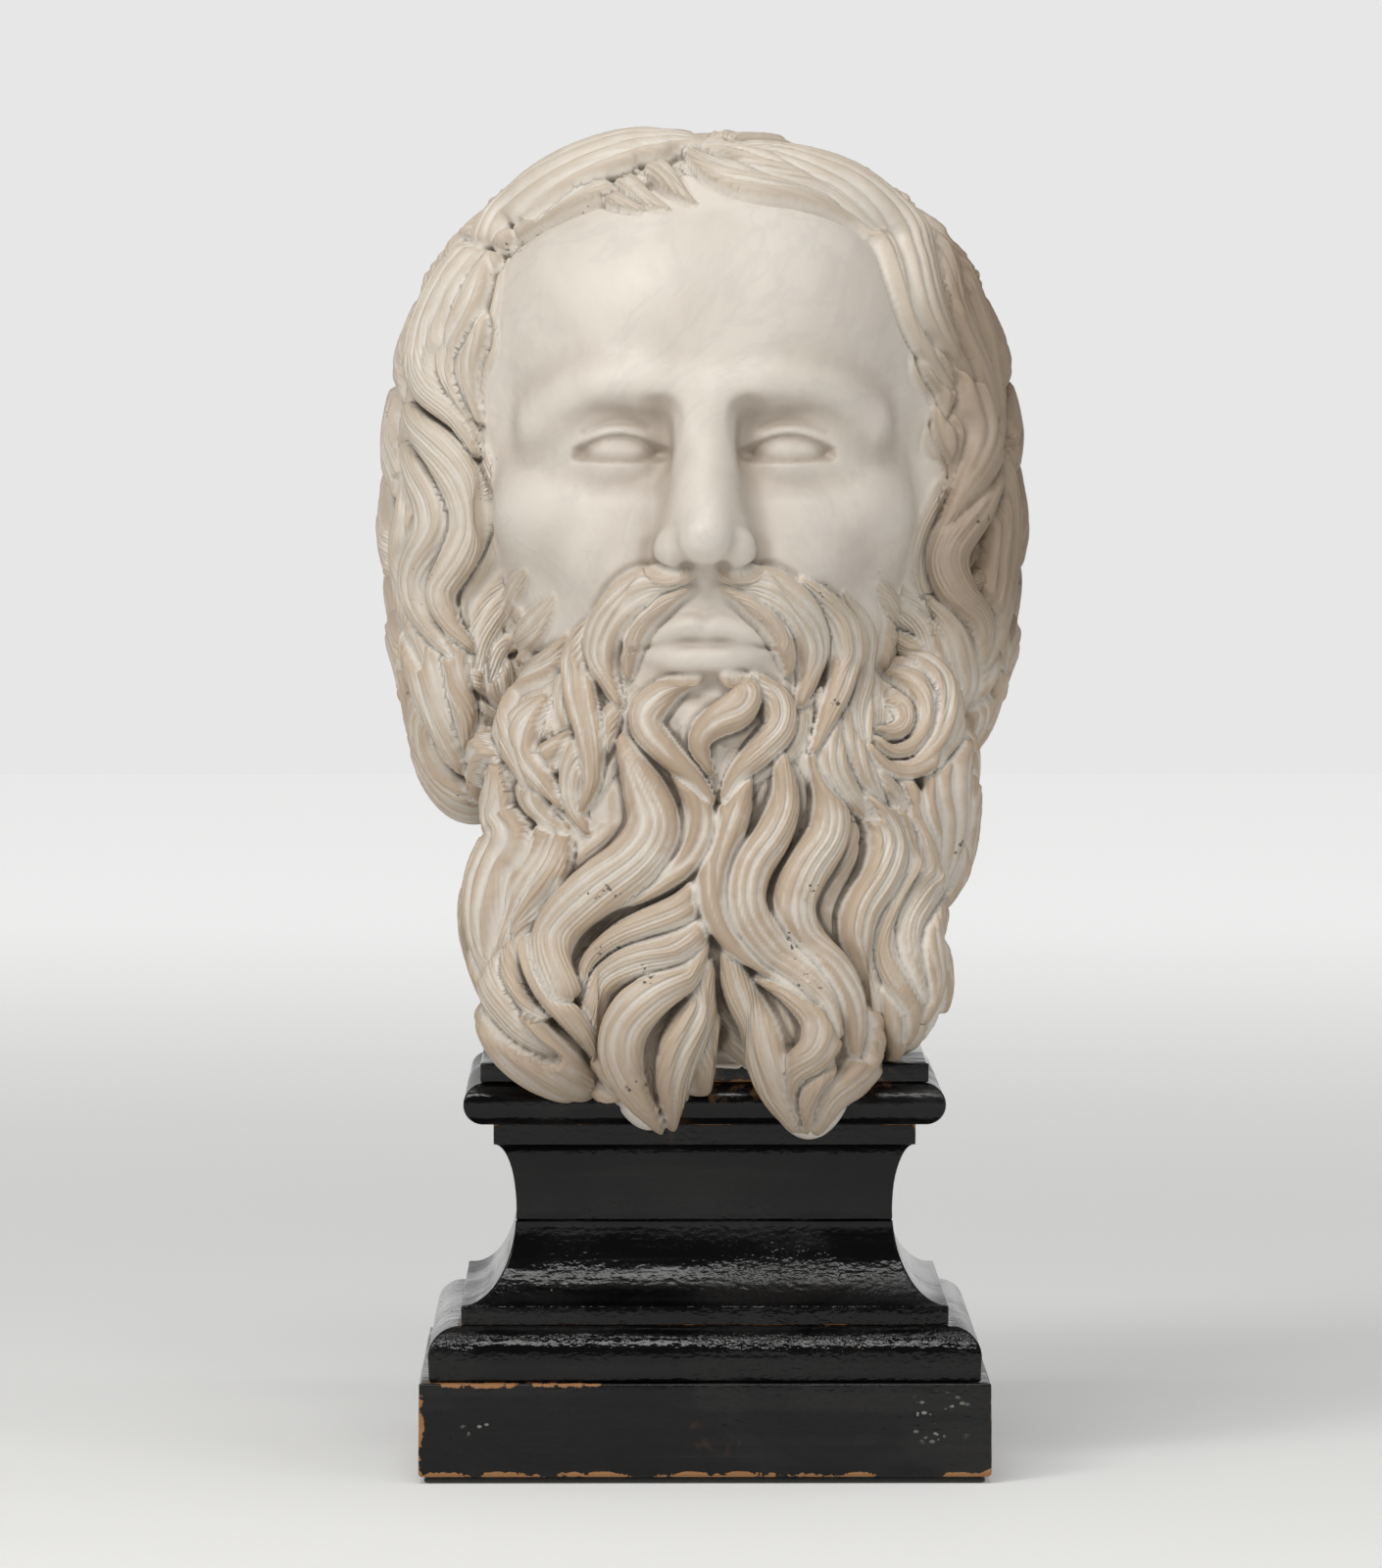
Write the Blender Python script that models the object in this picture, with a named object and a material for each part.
"""Marble bust of a bearded head on a moulded, ebonised wooden socle.

The head is one carved block, pinned to the socle by a threaded steel rod that is set in
plaster.  The socle is a stack of six moulded boards, held with screws and dowels, on a felt
sheet.  Lengths below are millimetres; the finished objects are in metres.  The origin is
the centre of the felt's underside, +Z is up and the face looks toward -Y.
"""
import math

import bmesh
import bpy
import numpy as np
import openvdb
from mathutils import Matrix

MM = 0.001
GAP = 0.15

# ---- looks: colour, roughness, metallic ----------------------------------------------------
MARBLE = ((0.78, 0.73, 0.66), 0.4, 0.0)
EBONISED = ((0.02, 0.02, 0.02), 0.35, 0.0)
BEECH = ((0.55, 0.38, 0.22), 0.6, 0.0)
STEEL = ((0.45, 0.45, 0.46), 0.4, 1.0)
BRASS = ((0.7, 0.52, 0.22), 0.4, 1.0)
PLASTER = ((0.8, 0.78, 0.74), 0.8, 0.0)
FELT = ((0.03, 0.035, 0.03), 0.95, 0.0)

# ---- socle: half widths and heights -------------------------------------------------------
FELT_TOP = 2.7
FELT_HALF = 124.0
PLINTH_Z = (3.0, 44.5)
PLINTH_HALF = 126.5
OVOLO_Z = (44.5, 68.5)
OVOLO_HALF = 122.5
OVOLO_R = 13.0
LOWER_Z = (68.5, 113.0)
WAIST_Z = 118.0
WAIST_HALF = 83.8
FILLET_HALF = 108.0
FILLET_TOP = 77.0
UPPER_Z = (113.0, 156.5)
NECK_Z = 147.5
NECK_HALF = 93.7
TORUS_Z = (156.5, 175.5)
TORUS_HALF = 106.9
TOP_Z = (175.5, 184.0)
TOP_HALF = 99.5

# ---- fixings ------------------------------------------------------------------------------
ROD_R = 6.0
ROD_Z = (9.0, 276.0)
ROD_BORE_R = 6.5
GROUT_R = (6.2, 10.8)
GROUT_Z = (184.6, 280.0)
PIN_HOLE_R = 11.0
PIN_HOLE_TOP = 282.0
COUNTERBORE_R = 16.0
COUNTERBORE_Z = 24.0
WASHER_R = 14.0
WASHER_Z = (21.8, 23.8)
NUT_AF = 19.0
NUT_Z = (11.5, 21.5)
SCREW_HEAD_R = 4.4
SCREW_R = 2.2
BASE_SCREW_XY = 62.0
BASE_SCREW_Z = (14.0, 96.0)
CAP_SCREW_XY = 55.0
CAP_SCREW_Z = (174.6, 122.0)
DOWEL_R = 5.0
DOWEL_XY = 36.0
DOWEL_Z = (98.0, 128.0)

# ---- head -----------------------------------------------------------------------------------
VOXEL = 3.0
HEAD_TRIS = 8200
TILT = math.radians(7.0)
COS_T = math.cos(TILT)
SIN_T = math.sin(TILT)
HEAD_Y = 4.0
HEAD_Z = 446.0
SEAT_Z = 184.3
OVERHANG_GAP = 1.2
GRID_LO = (-159.0, -180.0, 138.0)
GRID_HI = (159.0, 159.0, 618.0)
HAIR_CENTRE = np.array((0.0, 36.0, 440.0))
BEARD_AXIS_Y = -20.0
LOCK_STEP = 3.0

EYE = (37.0, -83.0, -2.0)
EYE_R = 18.2

# Locks of the beard as seen from the front: half width, thickness, then (x, z) along it.
BEARD = (
    (9, 7, ((-100, 330), (-98, 316), (-92, 300), (-96, 284), (-104, 268), (-107, 252), (-103, 236))),
    (8, 7, ((-78, 306), (-80, 290), (-92, 276), (-102, 260), (-104, 240), (-101, 222), (-90, 208))),
    (8, 7, ((-66, 292), (-70, 274), (-84, 258), (-96, 244), (-98, 226), (-88, 210), (-70, 200))),
    (7, 6, ((-60, 286), (-66, 268), (-78, 252), (-86, 238), (-84, 224), (-74, 214))),
    (11, 8, ((-102, 232), (-98, 212), (-84, 196), (-66, 182), (-48, 174), (-36, 172))),
    (9, 7, ((-86, 222), (-80, 204), (-64, 192), (-48, 184))),
    (7, 7, ((-56, 300), (-62, 280), (-71, 258), (-73, 238), (-67, 216), (-54, 196), (-34, 170))),
    (8, 7, ((-44, 322), (-40, 304), (-36, 290), (-44, 276), (-58, 262), (-66, 246), (-66, 230))),
    (8, 7, ((-34, 326), (-26, 308), (-24, 292), (-36, 276), (-54, 262), (-64, 242), (-56, 214))),
    (8, 8, ((-24, 322), (-12, 306), (-8, 290), (-18, 272), (-38, 260), (-54, 250), (-58, 236))),
    (7, 7, ((-12, 312), (0, 294), (2, 276), (-8, 262), (-26, 252), (-44, 246), (-54, 236))),
    (7, 7, ((2, 286), (0, 266), (-12, 252), (-32, 242), (-48, 234), (-55, 220), (-52, 206))),
    (8, 8, ((0, 262), (-4, 246), (-18, 234), (-36, 226), (-46, 212), (-46, 196), (-38, 182), (-28, 168))),
    (8, 8, ((-2, 240), (-8, 226), (-24, 216), (-34, 202), (-34, 186), (-28, 172), (-22, 160))),
    (7, 8, ((-1, 232), (-4, 214), (-14, 200), (-18, 184), (-18, 170), (-18, 158))),
    (5, 6, ((1, 222), (0, 204), (-4, 190), (-4, 176), (-8, 164))),
    (7, 7, ((12, 320), (10, 300), (6, 282), (2, 264), (4, 246), (14, 232), (28, 222), (40, 212))),
    (8, 8, ((20, 318), (22, 300), (18, 284), (10, 268), (10, 250), (20, 236), (34, 226), (48, 214))),
    (8, 8, ((30, 318), (34, 300), (30, 284), (20, 268), (18, 252), (28, 236), (46, 218), (56, 198))),
    (8, 8, ((40, 318), (46, 300), (44, 284), (34, 268), (28, 252), (34, 238), (46, 224), (58, 208))),
    (8, 8, ((50, 312), (59, 296), (60, 280), (50, 264), (43, 250), (50, 234), (62, 214), (62, 190))),
    (7, 7, ((56, 308), (70, 296), (76, 280), (72, 262), (62, 248), (63, 230), (72, 206), (64, 184))),
    (6, 6, ((66, 304), (80, 292), (84, 276), (80, 260), (76, 246))),
    (8, 8, ((8, 236), (12, 222), (22, 208), (30, 196), (28, 182), (34, 168), (42, 156))),
    (8, 8, ((24, 220), (40, 216), (48, 204), (46, 190), (38, 180), (40, 166), (46, 154))),
    (7, 7, ((60, 212), (68, 198), (64, 184), (56, 172), (54, 158))),
    (8, 7, ((88, 310), (96, 298), (104, 284), (104, 268), (94, 254), (90, 240), (96, 226), (104, 214))),
    (8, 7, ((100, 308), (112, 294), (118, 278), (115, 260), (105, 246), (104, 230), (108, 215), (99, 198))),
    (8, 7, ((84, 296), (92, 282), (92, 266), (84, 250), (80, 234), (86, 220), (94, 206), (92, 190))),
    (7, 6, ((76, 240), (76, 224), (82, 208), (86, 194), (90, 184))),
)

# Moustache, chin tuft, cheeks and side whiskers, in the same form.
WHISKERS = (
    (7, 6, ((-9, 399), (-24, 396), (-37, 386), (-44, 372), (-43, 358), (-37, 344))),
    (6, 6, ((-8, 394), (-20, 389), (-29, 379), (-33, 366), (-34, 352))),
    (7, 6, ((-46, 378), (-53, 360), (-53, 340), (-49, 322), (-48, 306), (-54, 292))),
    (7, 6, ((9, 400), (24, 397), (38, 388), (45, 374), (46, 358), (41, 343))),
    (6, 6, ((8, 394), (20, 390), (30, 380), (35, 368), (38, 354))),
    (7, 6, ((42, 394), (53, 384), (59, 368), (58, 350), (51, 334), (46, 322))),
    (7, 6, ((62, 366), (65, 346), (65, 326), (70, 308), (78, 294))),
    (7, 7, ((-4, 354), (-19, 346), (-26, 335), (-17, 324), (-4, 313), (4, 300))),
    (7, 7, ((6, 356), (16, 350), (14, 341), (3, 336), (-2, 328), (4, 316))),
    (7, 7, ((18, 354), (29, 346), (31, 334), (22, 324), (12, 313), (7, 301))),
    (8, 6, ((-60, 362), (-74, 352), (-87, 342), (-89, 330), (-82, 318), (-77, 308))),
    (7, 6, ((-57, 346), (-66, 334), (-77, 323), (-82, 311))),
    (7, 6, ((-53, 326), (-65, 321), (-74, 313), (-77, 303), (-70, 293), (-60, 286))),
    (6, 5, ((-96, 378), (-93, 362), (-90, 348), (-92, 334), (-88, 320))),
    (6, 5, ((-101, 374), (-99, 356), (-101, 338), (-98, 326))),
    (8, 7, ((-84, 324), (-94, 323), (-103, 315), (-105, 303), (-99, 294))),
    (7, 5, ((80, 366), (94, 360), (105, 346), (105, 328), (94, 317), (80, 317), (72, 326))),
    (6, 6, ((82, 351), (94, 348), (99, 336), (93, 325), (82, 323), (74, 330))),
    (5, 6, ((82, 341), (88, 339), (88, 332), (80, 331))),
    (6, 5, ((94, 380), (104, 368), (109, 354), (113, 342), (110, 326), (104, 316))),
    (6, 5, ((102, 386), (112, 372), (117, 356), (121, 340), (121, 326))),
    (7, 6, ((113, 334), (116, 316), (114, 300), (119, 284))),
)

# Hair framing the face, in the same form: fringe, left side, right side.
HAIR_FRONT = (
    (8, 7, ((-12, 596), (-32, 589), (-56, 581), (-79, 574), (-92, 562), (-90, 549), (-72, 553))),
    (7, 7, ((-10, 586), (-28, 583), (-48, 577), (-64, 568), (-76, 560), (-83, 566))),
    (6, 6, ((-12, 577), (-26, 580), (-42, 575), (-54, 567), (-64, 561))),
    (5, 5, ((-20, 578), (-15, 568), (-8, 560), (-2, 557))),
    (5, 5, ((-30, 573), (-26, 564), (-18, 558), (-12, 557))),
    (5, 5, ((-40, 567), (-34, 560), (-28, 557))),
    (7, 7, ((-8, 592), (2, 579), (22, 573), (44, 571), (64, 565), (78, 552), (86, 534), (92, 516))),
    (8, 7, ((-6, 600), (8, 588), (30, 581), (56, 576), (74, 564), (86, 546), (91, 526))),
    (8, 7, ((14, 602), (30, 592), (54, 586), (76, 576), (90, 560), (94, 542), (98, 520), (104, 502))),
    (8, 7, ((60, 590), (84, 578), (100, 564), (105, 546), (104, 528), (110, 508), (120, 492))),
    (8, 6, ((100, 568), (112, 548), (114, 528), (120, 506), (132, 484), (136, 466))),
    (8, 6, ((116, 548), (127, 530), (131, 508), (136, 486), (138, 462), (134, 442))),
    (7, 6, ((99, 500), (110, 495), (124, 484), (131, 468), (133, 450), (128, 432), (122, 416))),
    (6, 6, ((101, 484), (112, 480), (123, 468), (126, 452), (118, 438))),
    (6, 5, ((103, 466), (111, 460), (116, 448), (112, 436))),
    (7, 6, ((136, 442), (128, 424), (121, 406), (123, 390), (129, 374), (124, 360), (117, 350))),
    (7, 6, ((140, 424), (133, 408), (133, 390), (137, 374), (132, 358), (124, 344))),
    (7, 6, ((106, 434), (108, 416), (107, 398), (112, 382), (116, 366), (116, 350))),
    (8, 6, ((-98, 562), (-114, 546), (-127, 522), (-132, 500), (-130, 482))),
    (8, 7, ((-97, 546), (-110, 530), (-124, 512), (-127, 492), (-119, 474), (-108, 461))),
    (7, 6, ((-99, 514), (-112, 504), (-116, 490), (-112, 476), (-105, 464))),
    (8, 7, ((-142, 464), (-128, 450), (-116, 438), (-109, 420), (-106, 402), (-110, 388))),
    (6, 6, ((-118, 456), (-108, 446), (-103, 430), (-102, 412), (-104, 396))),
    (7, 6, ((-142, 440), (-131, 425), (-128, 410), (-133, 396), (-129, 384), (-117, 374), (-106, 366))),
    (7, 6, ((-142, 424), (-141, 406), (-142, 392), (-136, 378), (-126, 366), (-116, 356))),
    (8, 7, ((-132, 364), (-122, 352), (-112, 340), (-109, 324), (-110, 308))),
    (7, 6, ((-134, 358), (-128, 338), (-121, 320), (-112, 304))),
)

# Rows of locks round the crown, which leans back: upper and lower latitude, count, swing.
CROWN_LEAN = math.radians(22.0)
HAIR_ROWS = ((-14, -46, 19, 5.0), (10, -28, 18, 5.5), (34, -6, 16, 6.0), (58, 20, 13, 6.5), (80, 44, 8, 7))
# Lowest latitude that hair reaches, by longitude from the middle of the forehead.
HAIRLINE = ((0, 35, 58, 66, 110, 180), (26, 24, 4, -40, -44, -34))


# =============================== sockets, boards and fixings ================================
def clear_scene():
    for obj in list(bpy.data.objects):
        bpy.data.objects.remove(obj)


def material(name, rgb, roughness, metallic):
    mat = bpy.data.materials.new(name)
    mat.use_nodes = True
    shader = mat.node_tree.nodes["Principled BSDF"]
    shader.inputs["Base Color"].default_value = (*rgb, 1.0)
    shader.inputs["Roughness"].default_value = roughness
    shader.inputs["Metallic"].default_value = metallic
    mat.diffuse_color = (*rgb, 1.0)
    return mat


def finish_mesh(name, bm, look):
    """turns a bmesh into a named object with its own material; look is None for a cutter"""
    bmesh.ops.recalc_face_normals(bm, faces=bm.faces)
    mesh = bpy.data.meshes.new(name)
    bm.to_mesh(mesh)
    bm.free()
    obj = bpy.data.objects.new(name, mesh)
    bpy.context.scene.collection.objects.link(obj)
    if look is not None:
        mesh.materials.append(material(name, *look))
    return obj


def square_stack(name, rings, look):
    """closed solid with a square plan; rings are (half width, z) from the bottom up"""
    bm = bmesh.new()
    loops = []
    for half, z in rings:
        corners = ((-half, -half), (half, -half), (half, half), (-half, half))
        loops.append([bm.verts.new((x * MM, y * MM, z * MM)) for x, y in corners])
    for low, high in zip(loops[:-1], loops[1:]):
        for i in range(4):
            j = (i + 1) % 4
            bm.faces.new((low[i], low[j], high[j], high[i]))
    bm.faces.new(loops[0][::-1])
    bm.faces.new(loops[-1])
    return finish_mesh(name, bm, look)


def turned(name, rings, look, sides=24, x=0.0, y=0.0):
    """closed solid of revolution; rings are (radius, z) from the bottom up"""
    bm = bmesh.new()
    loops = []
    for r, z in rings:
        loop = []
        for i in range(sides):
            a = 2.0 * math.pi * (i + 0.5) / sides
            loop.append(bm.verts.new(((x + r * math.cos(a)) * MM, (y + r * math.sin(a)) * MM, z * MM)))
        loops.append(loop)
    for low, high in zip(loops[:-1], loops[1:]):
        for i in range(sides):
            j = (i + 1) % sides
            bm.faces.new((low[i], low[j], high[j], high[i]))
    bm.faces.new(loops[0][::-1])
    bm.faces.new(loops[-1])
    return finish_mesh(name, bm, look)


def tube(name, r_in, r_out, z0, z1, look, sides=24):
    """closed ring between two cylinders"""
    bm = bmesh.new()
    rings = ((r_out, z0), (r_out, z1), (r_in, z1), (r_in, z0))
    loops = []
    for r, z in rings:
        loop = []
        for i in range(sides):
            a = 2.0 * math.pi * (i + 0.5) / sides
            loop.append(bm.verts.new((r * math.cos(a) * MM, r * math.sin(a) * MM, z * MM)))
        loops.append(loop)
    for k in range(4):
        low = loops[k]
        high = loops[(k + 1) % 4]
        for i in range(sides):
            j = (i + 1) % sides
            bm.faces.new((low[i], low[j], high[j], high[i]))
    return finish_mesh(name, bm, look)


def cut(obj, cutters):
    """subtracts each cutter from obj and removes the cutters"""
    for tool in cutters:
        mod = obj.modifiers.new("cut", "BOOLEAN")
        mod.operation = "DIFFERENCE"
        mod.solver = "EXACT"
        mod.object = tool
        deps = bpy.context.evaluated_depsgraph_get()
        mesh = bpy.data.meshes.new_from_object(obj.evaluated_get(deps))
        obj.modifiers.clear()
        old = obj.data
        obj.data = mesh
        bpy.data.meshes.remove(old)
        bpy.data.objects.remove(tool)
    obj.data.name = obj.name


def drill(r, z0, z1, x=0.0, y=0.0, sides=24):
    return turned("drill", ((r, z0), (r, z1)), None, sides, x, y)


def corners(half):
    return ((-half, -half), (half, -half), (half, half), (-half, half))


def clearance_holes(z0, z1, with_screws):
    """rod bore, and the holes that the base screws or cap screws need between two heights"""
    tools = [drill(ROD_BORE_R, z0 - 1.0, z1 + 1.0)]
    for x, y in corners(BASE_SCREW_XY) if "base" in with_screws else ():
        tools.append(drill(SCREW_R + 0.3, z0 - 1.0, min(z1 + 1.0, BASE_SCREW_Z[1] + 0.6), x, y, 16))
    for x, y in corners(CAP_SCREW_XY) if "cap" in with_screws else ():
        tools.append(drill(SCREW_R + 0.3, max(z0 - 1.0, CAP_SCREW_Z[1] - 0.6), z1 + 1.0, x, y, 16))
    return tools


def plinth_board(look):
    z0, z1 = PLINTH_Z[0], PLINTH_Z[1] - GAP
    rings = [(PLINTH_HALF - 1.2, z0), (PLINTH_HALF, z0 + 1.2)]
    rings += [(PLINTH_HALF, z1 - 0.8), (PLINTH_HALF - 0.8, z1)]
    board = square_stack("plinth_board", rings, look)
    tools = clearance_holes(z0, z1, "base")
    tools.append(drill(COUNTERBORE_R, z0 - 1.0, COUNTERBORE_Z))
    for x, y in corners(BASE_SCREW_XY):
        tools.append(drill(SCREW_HEAD_R + 0.6, z0 - 1.0, BASE_SCREW_Z[0] + 4.4, x, y, 16))
    cut(board, tools)
    return board


def ovolo_board(look):
    z0, z1 = OVOLO_Z[0] + GAP, OVOLO_Z[1] - GAP
    rings = [(OVOLO_HALF - 1.5, z0), (OVOLO_HALF - 0.3, z0 + 5.0)]
    for i in range(7):
        a = 0.5 * math.pi * i / 6
        rings.append((OVOLO_HALF - OVOLO_R + OVOLO_R * math.cos(a), z1 - OVOLO_R + OVOLO_R * math.sin(a)))
    board = square_stack("ovolo_board", rings, look)
    cut(board, clearance_holes(z0, z1, "base"))
    return board


def scotia_dowel_holes(z0, z1):
    return [drill(DOWEL_R + 0.15, z0, z1, x, y, 16) for x, y in ((-DOWEL_XY, 0.0), (DOWEL_XY, 0.0))]


def lower_scotia(look):
    z0, z1 = LOWER_Z[0] + GAP, LOWER_Z[1] - GAP
    rings = [(FILLET_HALF, z0), (FILLET_HALF, FILLET_TOP)]
    for i in range(1, 9):
        a = 0.5 * math.pi * i / 9
        x = FILLET_HALF - 1.0 + (WAIST_HALF - FILLET_HALF + 1.0) * math.sin(a)
        rings.append((x, FILLET_TOP + (WAIST_Z - FILLET_TOP) * (1.0 - math.cos(a))))
    rings = [r for r in rings if r[1] < z1 - 1.0]
    rings.append((WAIST_HALF + 0.1, z1))
    block = square_stack("lower_scotia", rings, look)
    tools = clearance_holes(z0, z1, "base")
    tools += scotia_dowel_holes(DOWEL_Z[0] - 0.4, z1 + 1.0)
    cut(block, tools)
    return block


def upper_scotia(look):
    z0, z1 = UPPER_Z[0] + GAP, UPPER_Z[1] - GAP
    rings = [(WAIST_HALF + 0.1, z0), (WAIST_HALF, WAIST_Z)]
    for i in range(1, 8):
        a = 0.5 * math.pi * i / 7
        x = NECK_HALF - (NECK_HALF - WAIST_HALF) * math.cos(a)
        rings.append((x, WAIST_Z + (NECK_Z - WAIST_Z) * math.sin(a)))
    rings.append((NECK_HALF, z1))
    block = square_stack("upper_scotia", rings, look)
    tools = clearance_holes(z0, z1, "cap")
    tools += scotia_dowel_holes(z0 - 1.0, DOWEL_Z[1] + 0.4)
    cut(block, tools)
    return block


def torus_board(look):
    z0, z1 = TORUS_Z[0] + GAP, TORUS_Z[1] - GAP
    mid = 0.5 * (z0 + z1)
    r = 0.5 * (z1 - z0)
    rings = []
    for i in range(9):
        a = -0.5 * math.pi + math.pi * i / 8
        rings.append((TORUS_HALF - r + r * math.cos(a), mid + r * math.sin(a)))
    board = square_stack("torus_board", rings, look)
    tools = clearance_holes(z0, z1, "cap")
    for x, y in corners(CAP_SCREW_XY):
        tools.append(drill(SCREW_HEAD_R + 0.5, CAP_SCREW_Z[0] - 4.0, z1 + 1.0, x, y, 16))
    cut(board, tools)
    return board


def top_board(look):
    z0, z1 = TOP_Z[0] + GAP, TOP_Z[1]
    rings = ((TOP_HALF, z0), (TOP_HALF, z1 - 0.6), (TOP_HALF - 0.6, z1))
    board = square_stack("top_board", rings, look)
    cut(board, [drill(ROD_BORE_R, z0 - 1.0, z1 + 1.0)])
    return board


def screw(name, x, y, z_head, z_tip, look):
    """countersunk wood screw with a slotted head, head at z_head and point at z_tip"""
    s = 1.0 if z_tip > z_head else -1.0
    rings = [(SCREW_HEAD_R, z_head), (SCREW_HEAD_R, z_head + 0.6 * s), (SCREW_R, z_head + 3.2 * s)]
    rings += [(SCREW_R, z_tip - 6.0 * s), (0.5, z_tip)]
    if s < 0:
        rings = rings[::-1]
    obj = turned(name, rings, look, 16, x, y)
    slot = square_stack("slot", ((0.5, -1.0), (0.5, 1.0)), None)
    slot.data.transform(Matrix.Diagonal((12.0, 1.0, 1.2, 1.0)))
    slot.data.transform(Matrix.Translation((x * MM, y * MM, z_head * MM)))
    cut(obj, [slot])
    return obj


def felt_sheet(look):
    rings = ((FELT_HALF, 0.0), (FELT_HALF, FELT_TOP))
    return square_stack("felt_sheet", rings, look)


def fixings():
    turned("head_rod", ((ROD_R - 0.8, ROD_Z[0]), (ROD_R, ROD_Z[0] + 0.8), (ROD_R, ROD_Z[1] - 1.0),
                        (ROD_R - 1.0, ROD_Z[1])), STEEL)
    tube("rod_setting", GROUT_R[0], GROUT_R[1], GROUT_Z[0], GROUT_Z[1], PLASTER)
    tube("rod_washer", ROD_R + 0.3, WASHER_R, WASHER_Z[0], WASHER_Z[1], STEEL)
    nut = turned("rod_nut", ((0.5 * NUT_AF / math.cos(math.pi / 6), NUT_Z[0]),
                             (0.5 * NUT_AF / math.cos(math.pi / 6), NUT_Z[1])), STEEL, 6)
    cut(nut, [drill(ROD_R + 0.1, NUT_Z[0] - 1.0, NUT_Z[1] + 1.0)])
    for i, (x, y) in enumerate(corners(BASE_SCREW_XY)):
        screw(f"base_screw_{i + 1}", x, y, BASE_SCREW_Z[0], BASE_SCREW_Z[1], STEEL)
    for i, (x, y) in enumerate(corners(CAP_SCREW_XY)):
        screw(f"cap_screw_{i + 1}", x, y, CAP_SCREW_Z[0], CAP_SCREW_Z[1], BRASS)
    for i, x in enumerate((-DOWEL_XY, DOWEL_XY)):
        rings = ((DOWEL_R - 0.8, DOWEL_Z[0]), (DOWEL_R, DOWEL_Z[0] + 0.8), (DOWEL_R, DOWEL_Z[1] - 0.8),
                 (DOWEL_R - 0.8, DOWEL_Z[1]))
        turned(f"scotia_dowel_{i + 1}", rings, BEECH, 16, x, 0.0)


# ===================================== the carved head ======================================
def smin(a, b, k):
    if k <= 0.0:
        return np.minimum(a, b)
    h = np.maximum(k - np.abs(a - b), 0.0) / k
    return np.minimum(a, b) - h * h * (0.25 * k)


def smax(a, b, k):
    return -smin(-a, -b, k)


class Field:
    """signed distance, in millimetres, on a regular grid"""

    def __init__(self, h):
        self.h = h
        self.lo = np.array(GRID_LO)
        self.n = np.ceil((np.array(GRID_HI) - self.lo) / h).astype(int) + 1
        self.ax = [(self.lo[i] + h * np.arange(self.n[i])).astype(np.float32) for i in range(3)]
        self.d = np.full(tuple(self.n), 40.0, dtype=np.float32)

    def window(self, lo, hi):
        a = np.clip(np.floor((np.array(lo) - self.lo) / self.h).astype(int), 0, self.n - 1)
        b = np.clip(np.ceil((np.array(hi) - self.lo) / self.h).astype(int) + 1, 1, self.n)
        part = tuple(slice(int(a[i]), int(b[i])) for i in range(3))
        x = self.ax[0][part[0]][:, None, None]
        y = self.ax[1][part[1]][None, :, None]
        z = self.ax[2][part[2]][None, None, :]
        return part, x, y, z

    def head_window(self, c, r):
        """window round a box given in the tilted head's own space, mirrored in x"""
        pts = []
        for sy in (-1, 1):
            for sz in (-1, 1):
                y = c[1] + sy * r[1]
                z = c[2] + sz * r[2]
                pts.append((HEAD_Y + y * COS_T + z * SIN_T, HEAD_Z - y * SIN_T + z * COS_T))
        ys, zs = zip(*pts)
        half = abs(c[0]) + r[0]
        part, x, y, z = self.window((-half, min(ys), min(zs)), (half, max(ys), max(zs)))
        yy = (y - HEAD_Y) * COS_T - (z - HEAD_Z) * SIN_T
        zz = (y - HEAD_Y) * SIN_T + (z - HEAD_Z) * COS_T
        return part, np.abs(x), yy, zz

    def sample(self, p, arr):
        q = np.clip((p - self.lo) / self.h, 0, self.n - 1.001)
        i = q.astype(int)
        f = q - i
        total = 0.0
        for dx in (0, 1):
            wx = f[..., 0] if dx else 1.0 - f[..., 0]
            for dy in (0, 1):
                wy = f[..., 1] if dy else 1.0 - f[..., 1]
                for dz in (0, 1):
                    wz = f[..., 2] if dz else 1.0 - f[..., 2]
                    total = total + wx * wy * wz * arr[i[..., 0] + dx, i[..., 1] + dy, i[..., 2] + dz]
        return total

    def normal(self, p, arr, step):
        g = np.zeros_like(p)
        for a in range(3):
            e = np.zeros(3)
            e[a] = step
            g[..., a] = self.sample(p + e, arr) - self.sample(p - e, arr)
        return g / np.maximum(np.linalg.norm(g, axis=-1, keepdims=True), 1e-6)


def ellipsoid(x, y, z, c, r):
    px = (x - c[0]) / r[0]
    py = (y - c[1]) / r[1]
    pz = (z - c[2]) / r[2]
    k0 = np.sqrt(px * px + py * py + pz * pz)
    k1 = np.sqrt((px / r[0]) ** 2 + (py / r[1]) ** 2 + (pz / r[2]) ** 2)
    return k0 * (k0 - 1.0) / np.maximum(k1, 1e-6)


def chain(x, y, z, pts):
    """row of round cones through (x, y, z, radius) points"""
    best = 1e3
    for a, b in zip(pts[:-1], pts[1:]):
        v = [b[i] - a[i] for i in range(3)]
        t = ((x - a[0]) * v[0] + (y - a[1]) * v[1] + (z - a[2]) * v[2]) / sum(k * k for k in v)
        t = np.clip(t, 0.0, 1.0)
        dx = x - a[0] - v[0] * t
        dy = y - a[1] - v[1] * t
        dz = z - a[2] - v[2] * t
        best = np.minimum(best, np.sqrt(dx * dx + dy * dy + dz * dz) - (a[3] + (b[3] - a[3]) * t))
    return best


def merge(f, part, d, k, carve):
    f.d[part] = smax(f.d[part], -d, k) if carve else smin(f.d[part], d, k)


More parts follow.
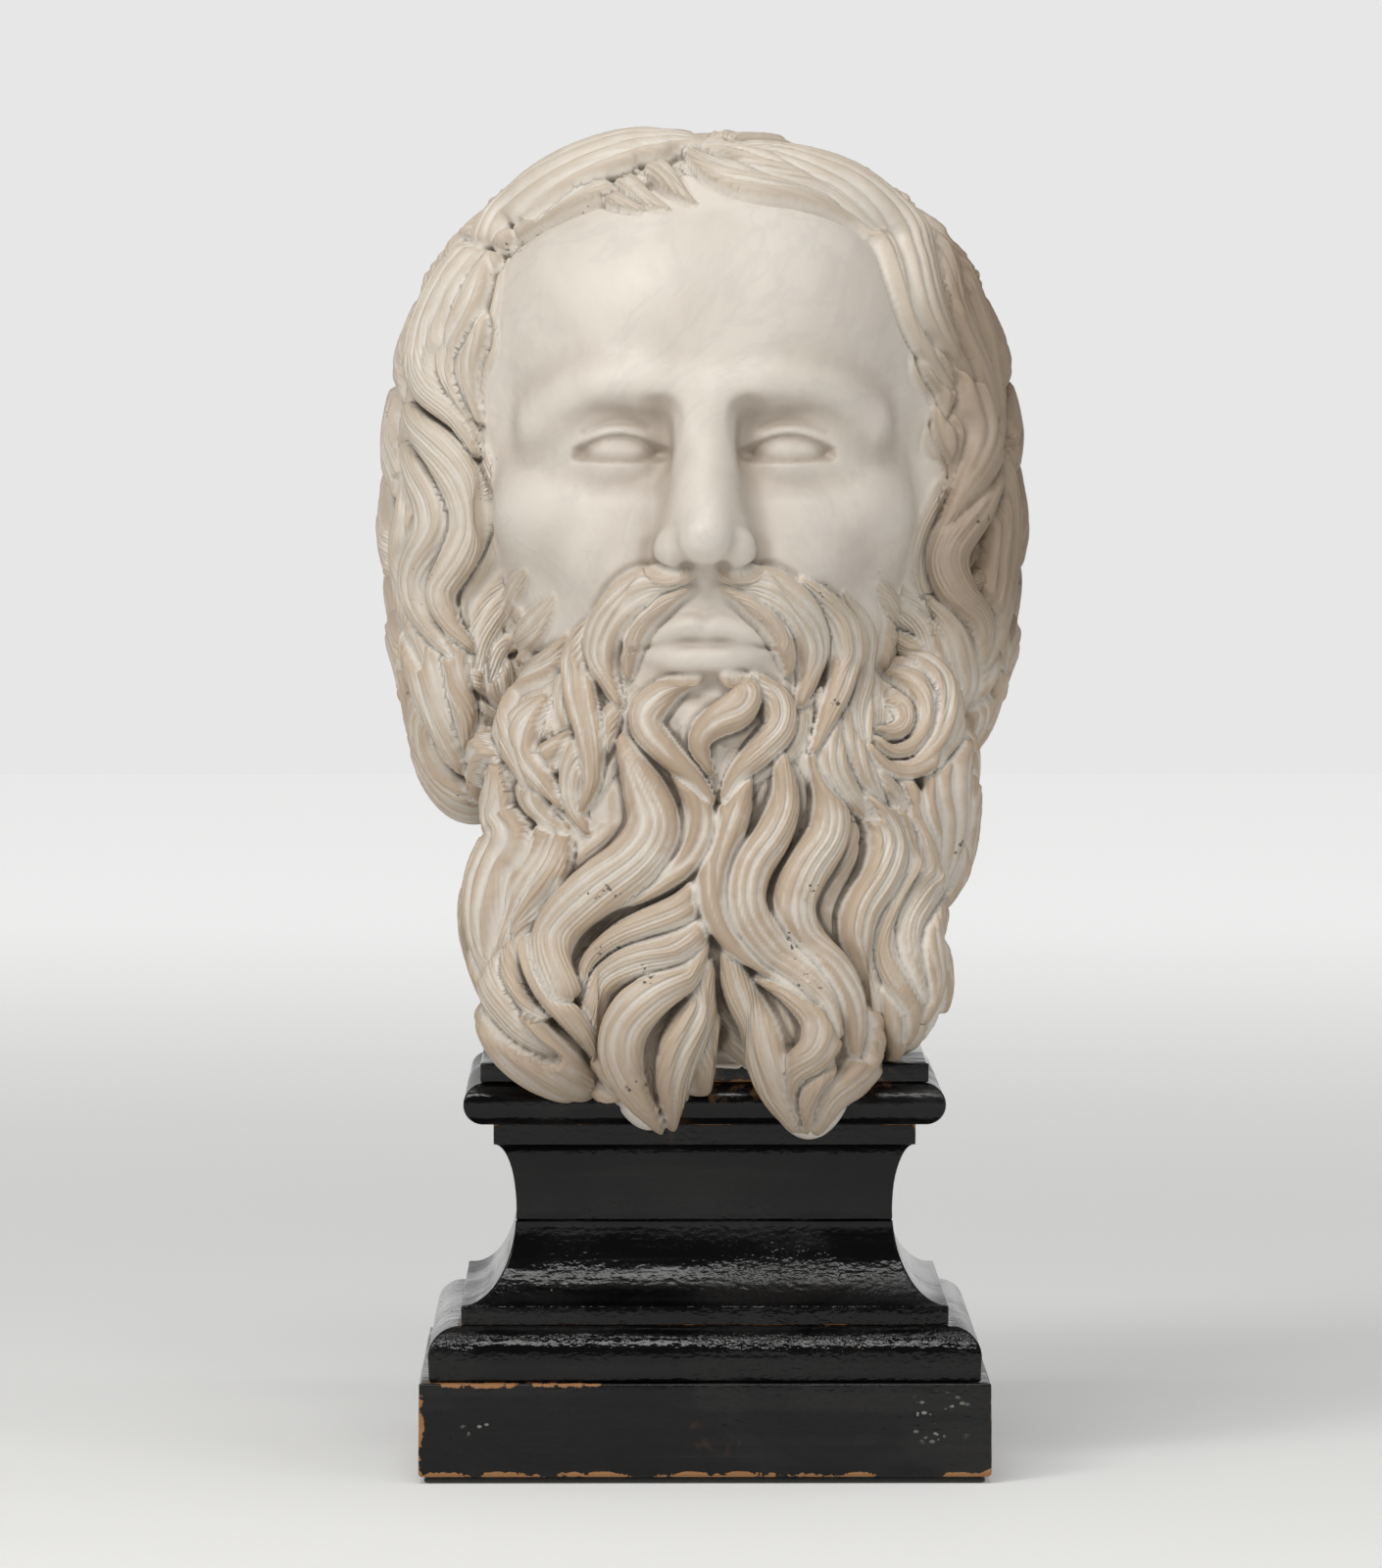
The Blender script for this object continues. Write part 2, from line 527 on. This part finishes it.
def ball(f, c, r, k, carve=False):
    """ellipsoid in head space, on both sides of the face"""
    part, x, y, z = f.head_window(c, [v + k + 6.0 for v in r])
    merge(f, part, ellipsoid(x, y, z, c, r), k, carve)


def strand(f, pts, k, carve=False):
    """round-cone chain in head space, on both sides of the face"""
    p = np.array(pts, dtype=float)
    m = p[:, 3].max() + k + 5.0
    lo = p[:, :3].min(0) - m
    hi = p[:, :3].max(0) + m
    part, x, y, z = f.head_window((lo + hi) / 2, (hi - lo) / 2)
    merge(f, part, chain(x, y, z, pts), k, carve)


def mass(f, c, r, k):
    """ellipsoid in the bust's own frame"""
    pad = k + 6.0
    part, x, y, z = f.window([c[i] - r[i] - pad for i in range(3)], [c[i] + r[i] + pad for i in range(3)])
    merge(f, part, ellipsoid(x, y, z, c, r), k, False)


def face(f):
    ball(f, (0, 14, 40), (96, 112, 105), 0)
    ball(f, (0, -36, -30), (84, 72, 105), 30)
    ball(f, (0, -44, -90), (64, 58, 52), 25)
    ball(f, (0, -92, -124), (24, 16, 18), 18)
    ball(f, (0, -34, 62), (84, 72, 62), 20)
    ball(f, (62, -64, -28), (26, 24, 17), 20)
    ball(f, (42, -80, -62), (28, 22, 30), 15)
    strand(f, ((6, -103, 21, 7), (30, -104, 25, 8), (55, -90, 22, 7), (72, -68, 10, 6)), 12)
    ball(f, (0, -100, 20), (10, 10, 10), 12)
    ball(f, (38, -108, -1), (23, 16, 13), 10, True)
    eyes(f)
    nose(f)
    mouth(f)


def eyes(f):
    """blank eyeballs between an upper and a lower lid"""
    part, x, y, z = f.head_window(EYE, (34, 34, 34))
    x = x - EYE[0]
    y = y - EYE[1]
    z = z - EYE[2]
    r = np.sqrt(x * x + y * y + z * z)
    turn = np.degrees(np.arctan2(x, -y))
    rise = np.degrees(np.arctan2(z, np.sqrt(x * x + y * y)))
    arch = 1.0 - (np.minimum(np.abs(turn - 2.0), 64.0) / 64.0) ** 2
    per_degree = 0.35
    upper = (25.0 * arch + 1.0 - rise) * per_degree
    lower = (rise + 17.0 * arch) * per_degree
    side = (np.abs(turn) - 95.0) * per_degree
    d = smin(f.d[part], np.maximum(smax(r - EYE_R - 2.2, lower, 1.2), side), 3.5)
    d = smin(d, np.maximum(smax(r - EYE_R - 3.2, upper, 1.2), side), 2.0)
    f.d[part] = smin(d, r - EYE_R, 0.5)


def nose(f):
    strand(f, ((0, -98, 22, 9), (0, -108, -5, 9), (0, -113, -25, 11.5), (0, -112, -42, 15)), 10)
    strand(f, ((0, -104, 14, 6.5), (0, -114, -8, 6.5), (0, -125, -30, 7.5), (0, -130, -43, 9.5)), 8)
    ball(f, (14.5, -111, -48), (8.5, 13, 9), 5)


def mouth(f):
    ball(f, (0, -86, -82), (36, 22, 34), 18)
    strand(f, ((0, -116.5, -83, 5.5), (17, -112, -85, 4.6), (27, -104, -90, 3)), 4)
    strand(f, ((0, -114.5, -97, 6.8), (12, -112.5, -97, 6.6), (24, -104, -92.5, 3)), 4)
    strand(f, ((0, -123, -90.5, 1.6), (18, -117, -89.9, 1.6), (28, -107, -91.5, 1.6)), 2, True)


def hair_and_beard_masses(f):
    ball(f, (0, 38, -5), (136, 98, 152), 2)
    ball(f, (0, 2, 98), (96, 80, 50), 3)
    ball(f, (108, 14, -28), (30, 52, 96), 14)
    mass(f, (0, 40, 300), (92, 78, 90), 25)
    part, x, y, z = f.window((-92, -70, 170), (92, 120, 340))
    neck = np.sqrt(x * x + (y - 22.0) ** 2) - 74.0
    neck = smax(smax(neck, SEAT_Z - z, 2), z - 330.0, 20)
    f.d[part] = smin(f.d[part], neck, 10)
    mass(f, (0, -66, 312), (100, 58, 66), 8)
    mass(f, (0, -68, 250), (106, 66, 68), 18)
    mass(f, (4, -48, 205), (96, 74, 46), 18)
    mass(f, (-68, -102, 208), (30, 30, 34), 12)
    mass(f, (-24, -112, 200), (25, 27, 42), 10)
    mass(f, (46, -112, 198), (25, 27, 44), 10)
    mass(f, (88, -88, 220), (22, 28, 36), 12)


def spline(pts, n):
    """Catmull-Rom curve through pts"""
    p = np.asarray(pts, dtype=float)
    p = np.vstack((2 * p[0] - p[1], p, 2 * p[-1] - p[-2]))
    t = np.linspace(0, len(p) - 3, n)
    i = np.minimum(t.astype(int), len(p) - 4)
    u = (t - i)[:, None]
    a, b, c, d = p[i], p[i + 1], p[i + 2], p[i + 3]
    bend = (2 * a - 5 * b + 4 * c - d) * u * u
    return 0.5 * (2 * b + (c - a) * u + bend + (3 * b - a - 3 * c + d) * u ** 3)


def smooth(a, k):
    kernel = np.ones(2 * k + 1) / (2 * k + 1)
    pad = np.concatenate((np.repeat(a[:1], k, 0), a, np.repeat(a[-1:], k, 0)))
    return np.stack([np.convolve(pad[:, j], kernel, mode="valid") for j in range(a.shape[1])], 1)


def cast(f, base, start, way):
    """distance along each ray to the base surface, or to the point nearest to it"""
    s = np.arange(0.0, 320.0, 1.5)
    d = f.sample(start[:, None, :] + way[:, None, :] * s[None, :, None], base)
    hit = d < 0
    first = np.where(hit.any(1), hit.argmax(1), d.argmin(1))
    i = np.arange(len(start))
    j = np.maximum(first - 1, 0)
    d0 = d[i, j]
    d1 = d[i, first]
    part = np.where((d0 > 0) & (d1 < 0), d0 / np.maximum(d0 - d1, 1e-6), 0.0)
    return s[j] + 1.5 * part


def from_front(uv):
    start = np.stack((uv[:, 0], np.full(len(uv), GRID_LO[1] + 2.0), uv[:, 1]), 1)
    return start, np.tile((0.0, 1.0, 0.0), (len(uv), 1))


def from_round(uv):
    """uv in degrees: longitude from the middle of the forehead, latitude about the leaning crown"""
    a = np.radians(uv[:, 0])
    e = np.radians(uv[:, 1])
    y = -np.cos(a) * np.cos(e)
    z = np.sin(e)
    lean_y = y * math.cos(CROWN_LEAN) + z * math.sin(CROWN_LEAN)
    lean_z = z * math.cos(CROWN_LEAN) - y * math.sin(CROWN_LEAN)
    way = np.stack((np.sin(a) * np.cos(e), lean_y, lean_z), 1)
    return HAIR_CENTRE + way * 320.0, -way


def from_side(uv):
    """uv: longitude in degrees about an upright axis through the beard, height"""
    a = np.radians(uv[:, 0])
    way = np.stack((np.sin(a), -np.cos(a), np.zeros(len(a))), 1)
    start = np.stack((np.zeros(len(a)), np.full(len(a), BEARD_AXIS_Y), uv[:, 1]), 1)
    return start + way * 300.0, -way


def steady(s, uv):
    """keeps a lock from leaping back where its ray passes the edge of the mass it lies on"""
    step = 1.3 * np.linalg.norm(np.diff(uv, axis=0), axis=1)
    for i in range(1, len(s)):
        s[i] = min(s[i], s[i - 1] + step[i - 1])
    for i in range(len(s) - 2, -1, -1):
        s[i] = min(s[i], s[i + 1] + step[i])
    return s


def lock(f, base, rays, pts, half, thick):
    """one tapering lock, swept over the base surface"""
    uv = spline(pts, 8 * len(pts))
    start, way = rays(uv)
    s = cast(f, base, start, way)
    if rays is from_front:
        s = steady(s, uv)
    s = smooth(s[:, None], 3)
    p = start + way * s
    arc = np.concatenate(((0.0,), np.cumsum(np.linalg.norm(np.diff(p, axis=0), axis=1))))
    n = max(int(arc[-1] / LOCK_STEP), 4) + 1
    t = np.linspace(0.0, 1.0, n)
    p = np.stack([np.interp(t * arc[-1], arc, p[:, i]) for i in range(3)], 1)
    out = smooth(f.normal(p, base, 5.0), 2)
    along = np.gradient(p, axis=0)
    along /= np.maximum(np.linalg.norm(along, axis=1, keepdims=True), 1e-6)
    across = np.cross(along, out)
    across /= np.maximum(np.linalg.norm(across, axis=1, keepdims=True), 1e-6)
    out = np.cross(across, along)
    swell = np.where(t < 0.5, 0.55 + 0.45 * np.sin(math.pi * t), 0.3 + 0.7 * np.sin(math.pi * t))
    sweep(f, p + out * 0.5, along, across, out, half * swell, thick * (0.35 + 0.65 * swell))


def sweep(f, p, along, across, out, w, h):
    for i in range(len(p) - 1):
        r = max(w[i], w[i + 1], h[i], h[i + 1]) + 2.0 * f.h
        part, x, y, z = f.window(np.minimum(p[i], p[i + 1]) - r, np.maximum(p[i], p[i + 1]) + r)
        v = p[i + 1] - p[i]
        dx = x - p[i][0]
        dy = y - p[i][1]
        dz = z - p[i][2]
        t = np.clip((dx * v[0] + dy * v[1] + dz * v[2]) / max(float(v @ v), 1e-6), 0.0, 1.0)
        q = (dx - t * v[0], dy - t * v[1], dz - t * v[2])
        side = sum(q[k] * across[i][k] for k in range(3))
        up = sum(q[k] * out[i][k] for k in range(3))
        fore = sum(q[k] * along[i][k] for k in range(3))
        ww = w[i] + (w[i + 1] - w[i]) * t
        hh = h[i] + (h[i + 1] - h[i]) * t
        k0 = np.sqrt((side / ww) ** 2 + (up / hh) ** 2 + (fore / ww) ** 2)
        k1 = np.sqrt((side / ww ** 2) ** 2 + (up / hh ** 2) ** 2 + (fore / ww ** 2) ** 2)
        d = np.where(k0 < 0.05, -np.minimum(ww, hh), k0 * (k0 - 1.0) / np.maximum(k1, 1e-5))
        f.d[part] = smin(f.d[part], d.astype(np.float32), 0.6)


def row_locks(f, base):
    """overlapping rows of waved locks over the crown, the sides and the back"""
    for k, (high, low, count, swing) in enumerate(HAIR_ROWS):
        for i in range(count):
            lon = (360.0 * (i + 0.5 * (k % 2)) / count + 180.0) % 360.0 - 180.0
            end = max(low, float(np.interp(abs(lon), *HAIRLINE)))
            if end > high - 14.0:
                continue
            turn = 1 if (i + k) % 2 else -1
            pts = []
            for j in range(6):
                u = j / 5
                e = high + (end - high) * u
                sway = turn * swing * math.sin(u * math.pi * 1.7) / max(math.cos(math.radians(e)), 0.35)
                pts.append((lon + sway, e))
            lock(f, base, from_round, pts, 12.0, 7.0)


def side_locks(f, base):
    """the flanks of the beard and the short hair down the neck"""
    for side in (-1, 1):
        for i in range(4):
            lon = side * (58.0 + 12.0 * i)
            pts = []
            for j in range(6):
                u = j / 5
                z = 332.0 - 5.0 * i - (122.0 - 10.0 * i) * u
                pts.append((lon + side * 5.0 * math.sin(u * math.pi * 2.0 + i), z))
            lock(f, base, from_side, pts, 10.0, 6.5)
        for i in range(4):
            lon = side * (112.0 + 20.0 * i)
            pts = []
            for j in range(5):
                u = j / 4
                sway = side * 4.0 * math.sin(u * math.pi * 1.6 + i)
                pts.append((lon + sway, 330.0 - 8.0 * (i % 2) - 92.0 * u))
            lock(f, base, from_side, pts, 13.0, 6.0)


def cut_for_socle(f):
    """the block ends flat on the top board; the beard hangs clear in front of the boards"""
    part, x, y, z = f.window((-160, -180, 100), (160, 160, 200))
    round_top = np.maximum(np.maximum(np.abs(x), np.abs(y)) - TOP_HALF, z - TOP_Z[1])
    round_torus = np.maximum(np.maximum(np.abs(x), np.abs(y)) - TORUS_HALF, z - TORUS_Z[1])
    behind = np.maximum(-103.0 - y, z - TOP_Z[1])
    solid = np.minimum(np.minimum(round_top, round_torus) - OVERHANG_GAP, behind - 0.6)
    f.d[part] = np.maximum(f.d[part], -solid)


def largest_piece(bm):
    """keeps the biggest connected shell"""
    left = set(bm.verts)
    best = []
    while left:
        seed = left.pop()
        piece = [seed]
        stack = [seed]
        while stack:
            v = stack.pop()
            for edge in v.link_edges:
                w = edge.other_vert(v)
                if w in left:
                    left.remove(w)
                    piece.append(w)
                    stack.append(w)
        if len(piece) > len(best):
            best = piece
    keep = set(best)
    bmesh.ops.delete(bm, geom=[v for v in bm.verts if v not in keep], context="VERTS")


def marble_head(look):
    f = Field(VOXEL)
    face(f)
    hair_and_beard_masses(f)
    base = f.d.copy()
    side_locks(f, base)
    row_locks(f, base)
    for half, thick, pts in HAIR_FRONT + WHISKERS + BEARD:
        lock(f, base, from_front, pts, half, thick)
    cut_for_socle(f)
    grid = openvdb.FloatGrid()
    grid.background = 40.0
    grid.copyFromArray(np.ascontiguousarray(f.d))
    grid.transform = openvdb.createLinearTransform(voxelSize=f.h)
    points, quads = grid.convertToQuads(isovalue=0.0)
    bm = bmesh.new()
    verts = [bm.verts.new((p + f.lo) * MM) for p in points.astype(float)]
    for q in quads:
        bm.faces.new([verts[i] for i in q[::-1]])
    largest_piece(bm)
    bmesh.ops.triangulate(bm, faces=bm.faces)
    head = finish_mesh("marble_head", bm, look)
    mod = head.modifiers.new("lighten", "DECIMATE")
    mod.ratio = HEAD_TRIS / len(head.data.polygons)
    deps = bpy.context.evaluated_depsgraph_get()
    head.data = bpy.data.meshes.new_from_object(head.evaluated_get(deps))
    head.modifiers.clear()
    cut(head, [drill(PIN_HOLE_R, 150.0, PIN_HOLE_TOP)])
    return head


def shade(obj):
    obj.data.shade_smooth()
    obj.data.set_sharp_from_angle(angle=math.radians(40.0))


def main():
    clear_scene()
    marble_head(MARBLE)
    top_board(EBONISED)
    torus_board(EBONISED)
    upper_scotia(EBONISED)
    lower_scotia(EBONISED)
    ovolo_board(EBONISED)
    plinth_board(EBONISED)
    felt_sheet(FELT)
    fixings()
    for obj in bpy.data.objects:
        shade(obj)


main()
